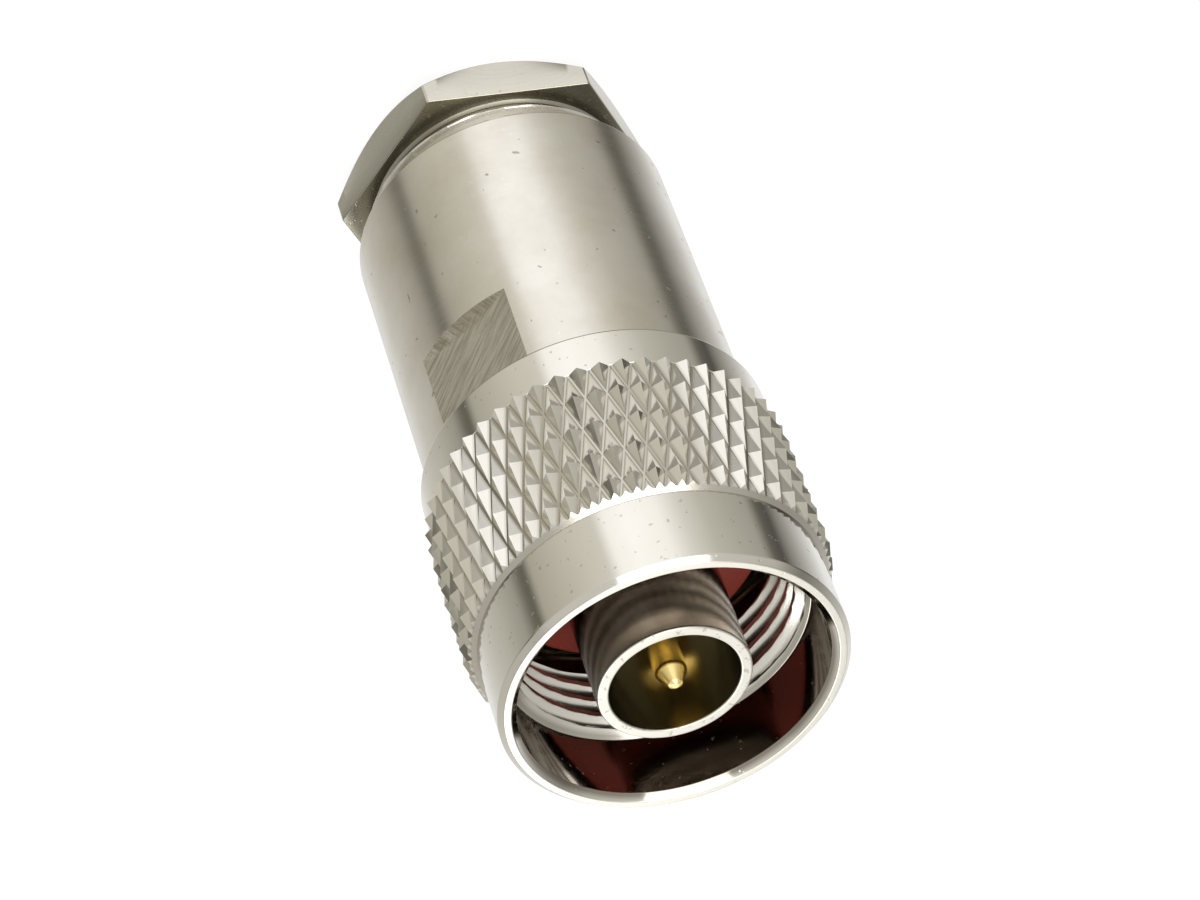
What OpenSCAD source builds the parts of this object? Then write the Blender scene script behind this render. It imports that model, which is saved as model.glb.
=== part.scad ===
// Coaxial cable plug: a screw-on coupling nut with a diamond knurl, a stepped
// body with wrench flats, a centre pin in a plain tubular outer contact, and a
// hexagonal clamp nut that squeezes the cable seal from behind.
// Millimetres. The plug stands on the clamp nut, +Z towards the mating end.

/* [Interface] */
// Outside diameter of the outer contact tube
contact_diameter = 8.03; // [7.90:0.01:8.10]
// Wall of the outer contact tube
contact_wall = 0.60; // [0.45:0.01:0.70]
// Outer contact, from the seal seat to its open end
contact_reach = 10.2; // [9.8:0.1:10.8]
// Diameter of the centre pin where it enters the socket
pin_diameter = 1.65; // [1.55:0.01:1.75]
// Diameter of the centre pin inside the plug
pin_shank_diameter = 3.04; // [2.90:0.01:3.20]
// Thin front length of the centre pin
pin_front_length = 5.6; // [5.2:0.1:6.0]
// How far the pin tip stands past the outer contact
pin_overhang = 0.15; // [0.05:0.05:0.25]

/* [Coupling nut] */
// Diameter over the points of the knurl
knurl_diameter = 19.56; // [19.4:0.02:20.6]
// Length of the knurled band at its points
knurl_length = 8.5; // [7.5:0.1:9.0]
// Diamonds around the nut
knurl_count = 52; // [44:1:60]
// Height of a diamond from its groove crossings
knurl_depth = 0.45; // [0.30:0.01:0.50]
// Spacing of the rows of diamonds along the nut
knurl_row = 2.01; // [1.8:0.01:2.3]
// Sideways step from one row to the next, as a share of a diamond
knurl_shift = 0.57; // [0.45:0.01:0.60]
// Turn of the whole knurl about the axis
knurl_turn = 1.1; // [0:0.1:6]
// Diameter of the plain rear band
band_diameter = 18.74; // [18.5:0.02:19.0]
// Length of the plain rear band
band_length = 2.55; // [2.3:0.05:3.2]
// Diameter of the smooth front collar
collar_diameter = 18.2; // [17.8:0.1:18.5]
// Rim of the nut past the end of the outer contact
rim_overhang = 0.3; // [0.1:0.1:0.8]
// Chamfer round the outside of the rim
rim_chamfer = 0.3; // [0.1:0.05:0.4]
// Chamfer round the mouth
mouth_chamfer = 0.35; // [0.2:0.05:0.4]
// Bore of the smooth lead-in at the mouth
lead_in_diameter = 16.2; // [16.1:0.05:16.5]
// Depth of the lead-in
lead_in_depth = 4.0; // [3.5:0.1:4.4]
// Bore at the thread crests
nut_thread_bore = 14.84; // [14.72:0.02:14.98]
// Length of the thread
nut_thread_length = 4.5; // [4.2:0.1:5.2]
// Bore of the relief behind the thread
relief_diameter = 16.0; // [15.9:0.05:16.3]
// Thickness of the rear wall that the retaining ring holds
nut_web = 4.7; // [4.4:0.1:5.0]

/* [Retaining ring] */
// Thickness of the split ring
ring_thickness = 1.0; // [0.8:0.05:1.2]
// Outside diameter of the split ring
ring_diameter = 15.7; // [15.5:0.05:16.0]
// Inside diameter of the split ring
ring_bore = 13.1; // [12.9:0.05:13.4]
// Width of the split
ring_split = 2.0; // [1.5:0.1:3.0]

/* [Body] */
// Diameter of the body
body_diameter = 17.4; // [17.2:0.05:18.2]
// Length of the body behind the coupling nut
body_length = 18.0; // [17.5:0.1:20]
// Distance across the two wrench flats
flats_across = 16.3; // [16.0:0.05:16.6]
// Length of the wrench flats
flats_length = 5.5; // [4.5:0.1:6.5]
// Diameter of the neck that carries the coupling nut
neck_diameter = 14.5; // [14.3:0.05:14.7]
// Length of the neck
neck_length = 6.0; // [5.8:0.1:6.4]
// Thickness of the step at the front of the seal chamber
chamber_step = 1.4; // [1.0:0.1:1.8]
// Bore of the seal chamber
chamber_bore = 14.9; // [14.85:0.05:15.1]
// Bore that holds the rear insulator
insulator_bore = 10.0; // [9.6:0.1:10.4]
// Length of the rear insulator
insulator_length = 3.7; // [3.2:0.1:4.0]
// Flange that stops the outer contact in the body
contact_flange = 0.8; // [0.6:0.1:1.0]
// Extra radius at the root of the outer contact
contact_root = 0.20; // [0.18:0.02:0.30]

/* [Seal at the mating end] */
// Thickness of the seal ring
seal_thickness = 1.4; // [1.1:0.1:1.6]
// Outside diameter of the seal ring
seal_diameter = 14.2; // [13.6:0.1:14.3]

/* [Insulators and pin] */
// Length of the front insulator
front_insulator_length = 4.6; // [4.0:0.1:5.0]
// Diameter of the collar that locks the pin
pin_collar_diameter = 4.4; // [4.0:0.1:4.8]
// Thickness of that collar
pin_collar = 0.6; // [0.4:0.1:0.8]
// Length of the solder cup behind the rear insulator
cup_length = 3.2; // [2.8:0.1:3.6]
// Bore of the solder cup
cup_bore = 2.4; // [2.2:0.05:2.5]
// Small hole through the wall of the solder cup
cup_hole = 0.9; // [0.7:0.05:1.1]
// Length of the tapered nose of the pin
nose_length = 0.9; // [0.6:0.1:1.1]

/* [Cable clamp] */
// How much narrower the hexagon is across its flats than the body
hex_step = 1.7; // [1.2:0.1:1.9]
// Length of the hexagon
hex_length = 2.6; // [2.4:0.1:4.0]
// Turn of the clamp nut about the axis
hex_turn = 12.6; // [0:0.1:60]
// Gap left between the body and the hexagon
clamp_gap = 2.8; // [1.5:0.1:3.2]
// Outside diameter of the clamp thread
clamp_thread_diameter = 15.74; // [15.6:0.02:15.9]
// Gap left between the braid clamp and the rear insulator
braid_gap = 0.5; // [0.3:0.1:0.8]
// Bore for the cable
cable_bore = 10.8; // [10.4:0.1:11.2]
// Thickness of the clamp washer
washer_thickness = 0.8; // [0.6:0.1:1.0]
// Length of the rubber cable seal
cable_seal_length = 3.2; // [2.8:0.1:3.4]
// Depth of the groove round the rubber cable seal
seal_groove = 1.0; // [0.7:0.1:1.2]
// Thickness of the braid clamp's flange
braid_flange = 1.6; // [1.2:0.1:1.8]
// Length of the braid clamp's taper
braid_taper = 3.0; // [2.6:0.1:3.2]
// Bore of the braid clamp
braid_bore = 8.4; // [8.2:0.1:8.8]

/* [Fits] */
// Radial running clearance of the coupling nut and of its ring
running_fit = 0.05; // [0.02:0.01:0.09]
// Radial clearance of the clamp thread
thread_fit = 0.07; // [0.04:0.01:0.09]
// Radial clearance of pieces that are pushed in
push_fit = 0.02; // [0.01:0.01:0.05]
// End clearance of the coupling nut and of its ring
end_play = 0.1; // [0.05:0.01:0.15]
// Radial clearance of loose seals, washer and clamp
loose_fit = 0.08; // [0.05:0.01:0.15]

/* [Hidden] */
$fn = 96;
e = 0.5;               // how far a cutter runs past the face that it opens
nickel = "#b9b3a6";
bright = "#cfccc2";
gold = "#d6ab4a";
silicone = "#8c3a30";
fluoropolymer = "#f2f0ea";
rubber = "#2b2a29";

hex_across = body_diameter - hex_step;

// Stations along the axis, from the rear face of the clamp nut
body_z = hex_length + clamp_gap;
shoulder_z = body_z + body_length;
neck_z = shoulder_z + neck_length;
contact_end = neck_z + contact_reach;
nut_z = shoulder_z + 2 * end_play;
nut_end = contact_end + rim_overhang;
knurl_z = nut_z + band_length;
knurl_end = knurl_z + knurl_length;
thread_end = nut_end - lead_in_depth;
thread_z = thread_end - nut_thread_length;
ring_z = nut_z + nut_web / 2 - ring_thickness / 2;
// Bores of the body, from the front shoulder back
flange_z = shoulder_z + 1.0;
insulator_end = flange_z;
insulator_z = insulator_end - insulator_length;
chamber_z = insulator_z - chamber_step;
// Stack of loose clamp pieces, pushed forward by the clamp nut
braid_end = insulator_z - braid_gap;
braid_z = braid_end - braid_taper - braid_flange;
cable_seal_z = braid_z - cable_seal_length;
washer_z = cable_seal_z - washer_thickness;
clamp_thread_z = cable_seal_z + 1.1;
// Radii
neck_r = neck_diameter / 2;
nut_bore_r = neck_r + running_fit;
ring_r = ring_diameter / 2;
contact_r = contact_diameter / 2;
contact_bore_r = contact_r - contact_wall;
root_r = contact_r + contact_root;
flange_r = insulator_bore / 2 - push_fit;
clamp_r = clamp_thread_diameter / 2;
body_thread_r = clamp_r + thread_fit;
clamp_loose_r = min(chamber_bore / 2, body_thread_r) - loose_fit;
pin_r = pin_diameter / 2;
pin_shank_r = pin_shank_diameter / 2;
pin_end = contact_end + pin_overhang;
pin_step = pin_end - pin_front_length;
pin_z = insulator_z - cup_length;
pin_collar_z = insulator_end - pin_collar;

// Knurl: groove crossings lie low and diamond points lie high on each row.
// Rows run past both ends, and the envelope cuts them to length.
rows = ceil(knurl_length / knurl_row) + 2;
row0_z = knurl_z + 1.82 - knurl_row;
crossing_r = knurl_diameter / 2 - knurl_depth;
point_r = knurl_diameter / 2;
knurl_inner_r = lead_in_diameter / 2 + 0.45;
function polar(r, a, z) = [r * cos(a), r * sin(a), z];
function crossing(k, j) = k * 2 * knurl_count + 2 * (j % knurl_count);
function point(k, j) = crossing(k, j) + 1;
function inner(top, i) = (rows + 1) * 2 * knurl_count + top * 2 * knurl_count + i % (2 * knurl_count);

// A ring of four-sided pyramids between two crossing sets of grooves.
module knurl_ring() {
    step = 360 / knurl_count;
    turn = knurl_turn - knurl_shift * step;
    skin = [for (k = [0:rows]) for (i = [0:2 * knurl_count - 1])
        polar(i % 2 == 0 ? crossing_r : point_r, turn + (i / 2 + knurl_shift * k) * step, row0_z + k * knurl_row)];
    lining = [for (k = [0, rows]) for (i = [0:2 * knurl_count - 1])
        polar(knurl_inner_r, turn + (i / 2 + knurl_shift * k) * step, row0_z + k * knurl_row)];
    diamonds = [for (k = [0:rows - 1]) for (j = [0:knurl_count - 1]) each [
        [point(k, j), crossing(k, j), crossing(k + 1, j)],
        [point(k, j), crossing(k + 1, j), crossing(k, j + 1)],
        [point(k + 1, j), crossing(k, j + 1), crossing(k + 1, j)],
        [point(k + 1, j), crossing(k + 1, j + 1), crossing(k, j + 1)]]];
    n = 2 * knurl_count;
    ends = [for (i = [0:n - 1]) each [
        [i, i + 1 < n ? i + 1 : 0, inner(0, i + 1)],
        [i, inner(0, i + 1), inner(0, i)],
        [rows * n + i, inner(1, i), inner(1, i + 1)],
        [rows * n + i, inner(1, i + 1), rows * n + (i + 1) % n]]];
    wall = [for (i = [0:n - 1]) each [
        [inner(0, i), inner(0, i + 1), inner(1, i + 1)],
        [inner(0, i), inner(1, i + 1), inner(1, i)]]];
    polyhedron(points = concat(skin, lining), faces = concat(diamonds, ends, wall), convexity = 6);
}

// Space that the knurl may fill: square at the rear, bevelled at the front.
module knurl_envelope() {
    bevel = point_r - collar_diameter / 2 + 0.1;
    rotate_extrude() polygon([
        [knurl_inner_r - 0.1, knurl_z], [point_r + 0.1, knurl_z],
        [point_r + 0.1, knurl_end], [point_r + 0.1 - bevel, knurl_end + bevel * 0.72],
        [knurl_inner_r - 0.1, knurl_end + bevel * 0.72]]);
}

module coupling_nut() {
    core_r = knurl_inner_r + 0.35;
    groove_r = ring_r + 2 * running_fit;
    front_z = knurl_end + (point_r - collar_diameter / 2) * 0.72;
    color(nickel) {
        intersection() { knurl_ring(); knurl_envelope(); }
        rotate_extrude() polygon([
            // rear wall, with the groove for the split ring
            [nut_bore_r, nut_z],
            [band_diameter / 2 - 0.15, nut_z], [band_diameter / 2, nut_z + 0.15],
            [band_diameter / 2, knurl_z], [core_r, knurl_z],
            [core_r, front_z - 0.02], [collar_diameter / 2, front_z - 0.02],
            // collar and rim
            [collar_diameter / 2, nut_end - rim_chamfer], [collar_diameter / 2 - rim_chamfer, nut_end],
            [lead_in_diameter / 2 + mouth_chamfer, nut_end], [lead_in_diameter / 2, nut_end - mouth_chamfer],
            // lead-in, thread crests, relief
            [lead_in_diameter / 2, thread_end], [nut_thread_bore / 2, thread_end - 0.5],
            [nut_thread_bore / 2, thread_z + 0.4], [relief_diameter / 2, thread_z],
            [relief_diameter / 2, nut_z + nut_web], [nut_bore_r, nut_z + nut_web],
            [nut_bore_r, ring_z + ring_thickness + end_play], [groove_r, ring_z + ring_thickness + end_play],
            [groove_r, ring_z - end_play], [nut_bore_r, ring_z - end_play]]);
    }
}

module retaining_ring() {
    color(bright) difference() {
        translate([0, 0, ring_z]) cylinder(r = ring_r, h = ring_thickness);
        translate([0, 0, ring_z - e]) cylinder(d = ring_bore, h = ring_thickness + 2 * e);
        translate([-ring_r - e, -ring_split / 2, ring_z - e]) cube([ring_r, ring_split, ring_thickness + 2 * e]);
    }
}

module mating_seal() {
    color(silicone) rotate_extrude() polygon([
        [root_r + loose_fit, neck_z], [seal_diameter / 2, neck_z],
        [seal_diameter / 2, neck_z + seal_thickness - 0.2], [seal_diameter / 2 - 0.2, neck_z + seal_thickness],
        [root_r + loose_fit + 0.15, neck_z + seal_thickness], [root_r + loose_fit, neck_z + seal_thickness - 0.15]]);
}

module plug_body() {
    ring_groove_r = ring_bore / 2 - running_fit;
    color(nickel) difference() {
        rotate_extrude() polygon([
            // rear mouth and thread
            [body_thread_r + 0.3, body_z], [body_diameter / 2 - 0.12, body_z], [body_diameter / 2, body_z + 0.12],
            // shoulder and neck, with the ring groove
            [body_diameter / 2, shoulder_z - 0.15], [body_diameter / 2 - 0.15, shoulder_z], [neck_r, shoulder_z],
            [neck_r, ring_z - end_play], [ring_groove_r, ring_z - end_play],
            [ring_groove_r, ring_z + ring_thickness + end_play], [neck_r, ring_z + ring_thickness + end_play],
            [neck_r, neck_z - 0.3], [neck_r - 0.3, neck_z],
            // bores from the front back: contact, insulator, cone, seal chamber, thread
            [root_r + push_fit, neck_z], [root_r + push_fit, flange_z + contact_flange],
            [insulator_bore / 2, flange_z + contact_flange], [insulator_bore / 2, insulator_z],
            [insulator_bore / 2 + 0.7, insulator_z],
            [chamber_bore / 2 - 0.7, chamber_z], [chamber_bore / 2, chamber_z],
            [chamber_bore / 2, clamp_thread_z], [body_thread_r, clamp_thread_z - 0.3],
            [body_thread_r, body_z + 0.3]]);
        // two flats for a wrench, each with a square rear end
        for (a = [0, 180]) rotate([0, 0, a])
            translate([flats_across / 2, -body_diameter / 2, shoulder_z - flats_length])
                cube([body_diameter, body_diameter, flats_length + e]);
    }
}

module outer_contact() {
    color(bright) rotate_extrude() polygon([
        [contact_bore_r, flange_z], [flange_r, flange_z], [flange_r, flange_z + contact_flange],
        [root_r, flange_z + contact_flange], [root_r, neck_z + seal_thickness], [contact_r, neck_z + seal_thickness + contact_root],
        [contact_r, contact_end - 0.15], [contact_r - 0.15, contact_end],
        [contact_bore_r + 0.15, contact_end], [contact_bore_r, contact_end - 0.15]]);
}

module front_insulator() {
    color(fluoropolymer) rotate_extrude() polygon([
        [pin_shank_r + push_fit, flange_z], [contact_bore_r - push_fit, flange_z],
        [contact_bore_r - push_fit, flange_z + front_insulator_length],
        [pin_shank_r + push_fit + 0.25, flange_z + front_insulator_length],
        [pin_shank_r + push_fit, flange_z + front_insulator_length - 0.25]]);
}

module rear_insulator() {
    color(fluoropolymer) rotate_extrude() polygon([
        [pin_shank_r + push_fit, insulator_z], [flange_r, insulator_z], [flange_r, insulator_end],
        [pin_collar_diameter / 2 + push_fit, insulator_end], [pin_collar_diameter / 2 + push_fit, pin_collar_z],
        [pin_shank_r + push_fit, pin_collar_z]]);
}

module centre_pin() {
    color(gold) difference() {
        rotate_extrude() polygon([
            [0, pin_z + cup_length * 0.9], [cup_bore / 2, pin_z + cup_length * 0.9], [cup_bore / 2, pin_z],
            [pin_shank_r, pin_z], [pin_shank_r, pin_collar_z], [pin_collar_diameter / 2, pin_collar_z],
            [pin_collar_diameter / 2, insulator_end], [pin_shank_r, insulator_end],
            [pin_shank_r, pin_step - 0.4], [pin_r, pin_step],
            [pin_r, pin_end - nose_length], [pin_r * 0.45, pin_end - 0.12], [pin_r * 0.2, pin_end], [0, pin_end]]);
        translate([0, 0, pin_z + cup_length * 0.55]) rotate([0, 90, 0]) cylinder(d = cup_hole, h = pin_shank_r + e, $fn = 24);
    }
}

// Ferrule that the braid is folded over: its rear edge is a V that bites the
// seal, and its taper seats in the cone of the body.
module braid_clamp() {
    mid_r = (clamp_loose_r + cable_bore / 2) / 2;
    color(nickel) rotate_extrude() polygon([
        [braid_bore / 2, braid_z], [mid_r - seal_groove, braid_z], [mid_r, braid_z - seal_groove],
        [mid_r + seal_groove, braid_z], [clamp_loose_r, braid_z], [clamp_loose_r, braid_z + braid_flange],
        [insulator_bore / 2 + 0.9, braid_z + braid_flange], [insulator_bore / 2 - 0.1, braid_end],
        [braid_bore / 2, braid_end]]);
}

module cable_seal() {
    mid_r = (clamp_loose_r + cable_bore / 2) / 2;
    color(rubber) rotate_extrude() polygon([
        [cable_bore / 2 - 0.2, cable_seal_z], [clamp_loose_r, cable_seal_z], [clamp_loose_r, braid_z],
        [mid_r + seal_groove, braid_z], [mid_r, braid_z - seal_groove], [mid_r - seal_groove, braid_z],
        [cable_bore / 2 - 0.2, braid_z]]);
}

module clamp_washer() {
    color(bright) difference() {
        translate([0, 0, washer_z]) cylinder(r = clamp_loose_r, h = washer_thickness);
        translate([0, 0, washer_z - e]) cylinder(d = cable_bore + 0.4, h = washer_thickness + 2 * e);
    }
}

module clamp_nut() {
    corner_r = hex_across / 2 / cos(30);
    color(nickel) difference() {
        union() {
            intersection() {
                rotate([0, 0, hex_turn - 30]) cylinder(r = corner_r, h = hex_length, $fn = 6);
                rotate_extrude() polygon([
                    [0, -e], [hex_across / 2 - e, -e], [hex_across / 2 + corner_r, corner_r],
                    [hex_across / 2 + corner_r, corner_r + hex_length], [0, corner_r + hex_length]]);
            }
            rotate_extrude() polygon([
                [0, hex_length / 2], [clamp_r - 0.75, hex_length / 2], [clamp_r - 0.75, hex_length + 0.7],
                [clamp_r, hex_length + 1.1], [clamp_r, washer_z - 0.5], [clamp_r - 0.5, washer_z], [0, washer_z]]);
        }
        translate([0, 0, -e]) cylinder(d = cable_bore, h = washer_z + 2 * e);
        translate([0, 0, -e]) cylinder(d1 = cable_bore + 0.8 + 2 * e, d2 = cable_bore, h = 0.4 + e);
    }
}

coupling_nut();
retaining_ring();
mating_seal();
plug_body();
outer_contact();
front_insulator();
centre_pin();
rear_insulator();
braid_clamp();
cable_seal();
clamp_washer();
clamp_nut();
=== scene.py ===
# %% [markdown]
# # A coaxial cable plug, turned and plated
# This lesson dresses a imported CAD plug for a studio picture. The CAD gives every
# place and size; here each part gets the finer shape and the metal finish that a
# lathe, a knurling tool and a plating bath would leave on it.
# Every length below is in millimetres until a mesh is made, and then in metres.

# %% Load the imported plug
import math

import bpy
import bmesh
import numpy as np
from mathutils import Matrix, Vector


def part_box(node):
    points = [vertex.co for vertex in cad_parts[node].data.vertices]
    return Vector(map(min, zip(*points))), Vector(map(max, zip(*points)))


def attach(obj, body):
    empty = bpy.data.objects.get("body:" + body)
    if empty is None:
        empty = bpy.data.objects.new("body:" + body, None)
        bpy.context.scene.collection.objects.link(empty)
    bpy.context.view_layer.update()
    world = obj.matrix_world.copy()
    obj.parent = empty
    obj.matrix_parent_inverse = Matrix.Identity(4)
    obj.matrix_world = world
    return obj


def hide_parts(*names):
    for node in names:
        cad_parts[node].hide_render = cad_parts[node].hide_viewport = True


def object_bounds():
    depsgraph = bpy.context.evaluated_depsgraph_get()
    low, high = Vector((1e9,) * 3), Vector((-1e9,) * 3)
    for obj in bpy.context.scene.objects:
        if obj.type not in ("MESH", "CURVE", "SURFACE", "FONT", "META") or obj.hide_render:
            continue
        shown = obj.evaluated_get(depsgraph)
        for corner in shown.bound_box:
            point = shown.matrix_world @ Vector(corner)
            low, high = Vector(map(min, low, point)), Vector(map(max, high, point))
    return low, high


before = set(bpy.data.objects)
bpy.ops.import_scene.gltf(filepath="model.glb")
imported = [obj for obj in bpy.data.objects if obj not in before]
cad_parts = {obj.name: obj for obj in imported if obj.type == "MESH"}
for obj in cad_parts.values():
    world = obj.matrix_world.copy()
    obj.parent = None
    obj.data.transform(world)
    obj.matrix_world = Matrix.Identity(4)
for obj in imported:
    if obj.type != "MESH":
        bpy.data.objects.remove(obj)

cad_box = [list(corner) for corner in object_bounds()]
print("CAD box in mm:", [[round(v * 1000, 2) for v in corner] for corner in cad_box])

# %% [markdown]
# ## Stations along the axis
# The plug stands on its clamp nut with its axis on Z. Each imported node's box gives
# where that part starts, where it ends and how wide it is, so a change in the CAD
# moves the dressed parts with it. Only what a box can't show, such as a bore, a
# chamfer or a thread pitch, is written as a number of its own.

# %% Read the stations from the node boxes
def span(node):
    """Lowest height, highest height and largest radius of a CAD node, in mm."""
    low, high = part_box(node)
    return low.z * 1000, high.z * 1000, max(high.y, -low.y, high.x, -low.x) * 1000


NUT_Z, NUT_END, KNURL_TIP = span("coupling_nut")
BODY_Z, NECK_END, BODY_R = span("plug_body")
FLANGE_Z, CONTACT_END, FLANGE_R = span("outer_contact")
SEAL_Z, SEAL_END, SEAL_R = span("mating_seal")
FRONT_INS_Z, FRONT_INS_END, FRONT_INS_R = span("front_insulator")
REAR_INS_Z, REAR_INS_END, REAR_INS_R = span("rear_insulator")
PIN_Z, PIN_END, PIN_COLLAR_R = span("centre_pin")
BRAID_Z, BRAID_END, BRAID_R = span("braid_clamp")
CABLE_SEAL_Z, CABLE_SEAL_END, CABLE_SEAL_R = span("cable_seal")
WASHER_Z, WASHER_END, WASHER_R = span("clamp_washer")
CLAMP_Z, CLAMP_END = span("clamp_nut")[:2]

CONTACT_R, CONTACT_BORE_R = 4.015, 3.415
PIN_R, PIN_SHANK_R = 0.825, 1.52
BAND_R, COLLAR_R, LEAD_IN_R, RELIEF_R = 9.37, 9.10, 8.10, 8.00
NUT_THREAD_CREST_R, CLAMP_THREAD_R, CABLE_BORE_R = 7.42, 7.87, 5.40
THREAD_END = NUT_END - 4.0
THREAD_Z = THREAD_END - 4.5
PITCH = 25.4 / 24
SHOULDER_Z = NUT_Z - 0.2
NECK_R = 7.25
NUT_BORE_R = NECK_R + 0.05
NECK_GROOVE_R, NUT_GROOVE_R, CHAMBER_R, BODY_BORE_R = 6.50, 7.95, 7.45, 5.00
PIN_RECESS_R, PIN_CUP_R, BRAID_BORE_R = 2.22, 1.20, 4.20
GROOVE_Z, GROOVE_TOP = NUT_Z + 1.75, NUT_Z + 2.95
print(f"plug {CLAMP_Z:.2f} to {NUT_END:.2f} mm tall, body radius {BODY_R:.2f}, knurl tips {KNURL_TIP:.2f}")

# %% [markdown]
# ## The camera
# A close, slightly long lens looks down on the mouth at about 44 degrees. The picture
# is rolled so that the mouth comes to the lower right, which is how such a plug is
# usually held up to be looked at. The axes below are unit vectors on the plug.

# %% Place the camera
camera_data = bpy.data.cameras.new("studio_camera")
camera_data.lens, camera_data.sensor_width = 126.2, 36.0
camera_data.clip_start, camera_data.clip_end = 0.01, 10.0
camera = bpy.data.objects.new("studio_camera", camera_data)
bpy.context.scene.collection.objects.link(camera)
right = Vector((-0.66844, -0.70100, 0.24862))
up = Vector((0.38801, -0.61383, -0.68751))
back = Vector((0.63456, -0.36309, 0.68229))
camera_turn = Matrix((right, up, back)).transposed().to_4x4()
camera.matrix_world = Matrix.Translation((0.13947, -0.08029, 0.17313)) @ camera_turn
bpy.context.scene.camera = camera
CAMERA_AZIMUTH = math.atan2(camera.location.y, camera.location.x)
print(f"camera azimuth {math.degrees(CAMERA_AZIMUTH):.1f} degrees")

# %% [markdown]
# ## Meshes from whole arrays
# A turned part is a grid: its rows follow the outline that the lathe tool cut, and its
# columns go round the axis. Heights and radii for all the rows and columns are worked
# out at once with numpy. Rows that climb on the outside and sink in the bore make all
# the faces point out of the metal.

# %% A grid of rings becomes a closed mesh
def put_in_scene(name, points, faces, body, replaced=(), crisp=32):
    """Makes an object at the origin from points in mm, with smooth shading that stays crisp across
    edges sharper than `crisp` degrees."""
    mesh = bpy.data.meshes.new(name)
    mesh.from_pydata(np.asarray(points, float).reshape(-1, 3) * 0.001, [], faces)
    mesh.validate()
    mesh.shade_smooth()
    mesh.set_sharp_from_angle(angle=math.radians(crisp))
    piece = bpy.data.objects.new(name, mesh)
    bpy.context.scene.collection.objects.link(piece)
    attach(piece, body)
    if replaced:
        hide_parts(*replaced)
    print(f"{name}: {len(mesh.vertices)} points, {len(mesh.polygons)} faces")
    return piece


def ring_points(radius, height, angle):
    """Point = (radius x cos angle, radius x sin angle, height), for arrays of one shape."""
    radius, height, angle = np.broadcast_arrays(radius, height, angle)
    return np.stack([radius * np.cos(angle), radius * np.sin(angle), height], -1)


def grid_faces(rows, columns, closed_rows):
    """Quads between neighbours of a grid whose columns wrap round, and whose rows wrap too when closed."""
    r = np.arange(rows if closed_rows else rows - 1)[:, None]
    c = np.arange(columns)[None, :]
    r2, c2 = (r + 1) % rows, (c + 1) % columns
    return np.stack([r * columns + c, r * columns + c2, r2 * columns + c2, r2 * columns + c],
        -1).reshape(-1, 4)


print("grid helpers ready")

# %% [markdown]
# ## Outlines with broken edges
# No real turned edge is perfectly sharp, and the thin line of light on a broken edge is
# most of what makes metal look real. So an outline is given as corners with a small
# radius each. A corner becomes an arc that touches both its sides, and each straight
# stretch gets a point close to its ends, so that smooth shading doesn't bend the flats.

# %% Round the corners of an outline
def rounded(corners, steps=4, closed=True):
    """Corners (radius, height, rounding) become an outline. The arc's centre is on the bisector,
    at rounding / sin(half the angle), and its points turn evenly from one side to the other."""
    corners = [tuple(c) + (0.0,) * (3 - len(c)) for c in corners]
    outline, count = [], len(corners)
    for i, (r, z, rounding) in enumerate(corners):
        here = np.array([r, z])
        if not closed and i in (0, count - 1):
            outline.append(here[None])
            continue
        to_last, to_next = (np.array(corners[(i + step) % count][:2]) - here for step in (-1, 1))
        last_length, next_length = np.linalg.norm(to_last), np.linalg.norm(to_next)
        to_last, to_next = to_last / last_length, to_next / next_length
        half = math.acos(np.clip(to_last @ to_next, -1, 1)) / 2
        if rounding <= 0 or half > 1.55:
            outline.append(here[None])
            continue
        reach = min(rounding / math.tan(half), 0.45 * last_length, 0.45 * next_length)
        radius = reach * math.tan(half)
        middle = (to_last + to_next) / np.linalg.norm(to_last + to_next)
        centre = here + middle * radius / math.sin(half)
        a, b = here + to_last * reach - centre, here + to_next * reach - centre
        sweep = math.pi - 2 * half
        t = np.linspace(0, 1, steps + 1)[:, None]
        arc = centre + (np.sin((1 - t) * sweep) * a + np.sin(t * sweep) * b) / math.sin(sweep)
        lead = min(0.02, 0.2 * reach)
        outline += [arc[:1] + to_last * lead, arc, arc[-1:] + to_next * lead]
    return np.concatenate(outline)


def turned(name, corners, body, replaced=(), columns=160, steps=4):
    """A closed outline spun round the axis."""
    outline = rounded(corners, steps)
    angle = np.linspace(0, 2 * np.pi, columns, endpoint=False)[None, :]
    points = ring_points(outline[:, :1], outline[:, 1:], angle)
    return put_in_scene(name, points, grid_faces(len(outline), columns, True), body, replaced)


print("outline of a 2 mm washer with broken edges:",
    rounded([(1, 0, .1), (3, 0, .1), (3, 2, .1), (1, 2, .1)]).shape)

# %% [markdown]
# ## Coupling nut: the turned shell
# The nut is one turned part with a knurl rolled into its middle. Its plain shell is a
# single closed outline: rear wall and ring groove, plain band, collar, chamfered rim,
# lead-in bore, a pocket for the thread, and the relief behind it. The knurl and the
# thread follow as pieces of their own, because their grids run another way.

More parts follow.
